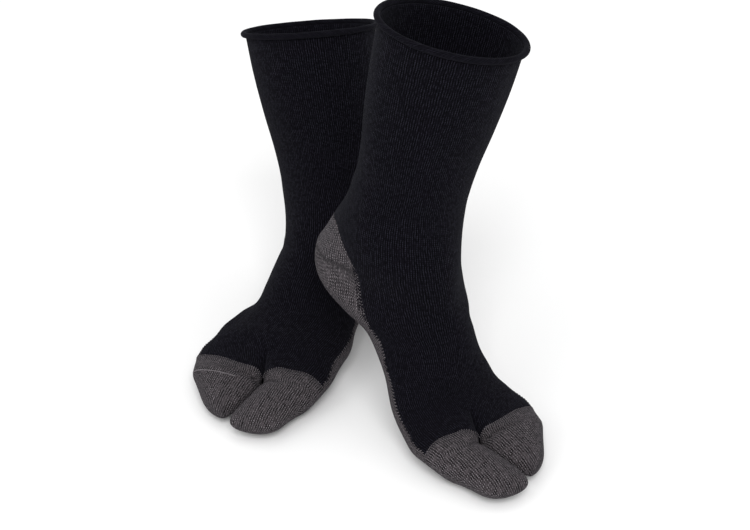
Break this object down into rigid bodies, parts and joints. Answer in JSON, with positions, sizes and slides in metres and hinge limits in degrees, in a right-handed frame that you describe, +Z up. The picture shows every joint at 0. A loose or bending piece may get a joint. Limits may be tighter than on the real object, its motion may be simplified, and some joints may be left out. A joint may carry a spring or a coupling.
{
  "type": "pair of split-toe bunion relief socks",
  "caption": "Pair of worn crew socks with a split toe: black knit legs with rolled tops, and grey cushioned heels, soles and toe pockets, hollow and open at the top.",
  "frame": {"origin": "middle of the right sock's leg opening, where the wearer's right leg holds the pair up", "axes": "+Z up from the floor; the wearer faces -Y, so the toes point towards -Y; +X is to the wearer's left"},
  "size_m": [0.2314, 0.3398, 0.2724],
  "materials": {
    "black_knit": "matte fine plain knit, with a faint soft nap",
    "grey_cushion_knit": "matte warm charcoal knit with visible ribs of stitches, terry inside"
  },
  "bodies": {
    "root": {"right_leg": "black_knit", "right_hem_roll": "black_knit", "right_heel_sole": "grey_cushion_knit", "right_toe_big": "grey_cushion_knit", "right_toe_four": "grey_cushion_knit", "left_leg": "black_knit", "left_hem_roll": "black_knit", "left_heel_sole": "grey_cushion_knit", "left_toe_big": "grey_cushion_knit", "left_toe_four": "grey_cushion_knit"}
  },
  "joints": []
}
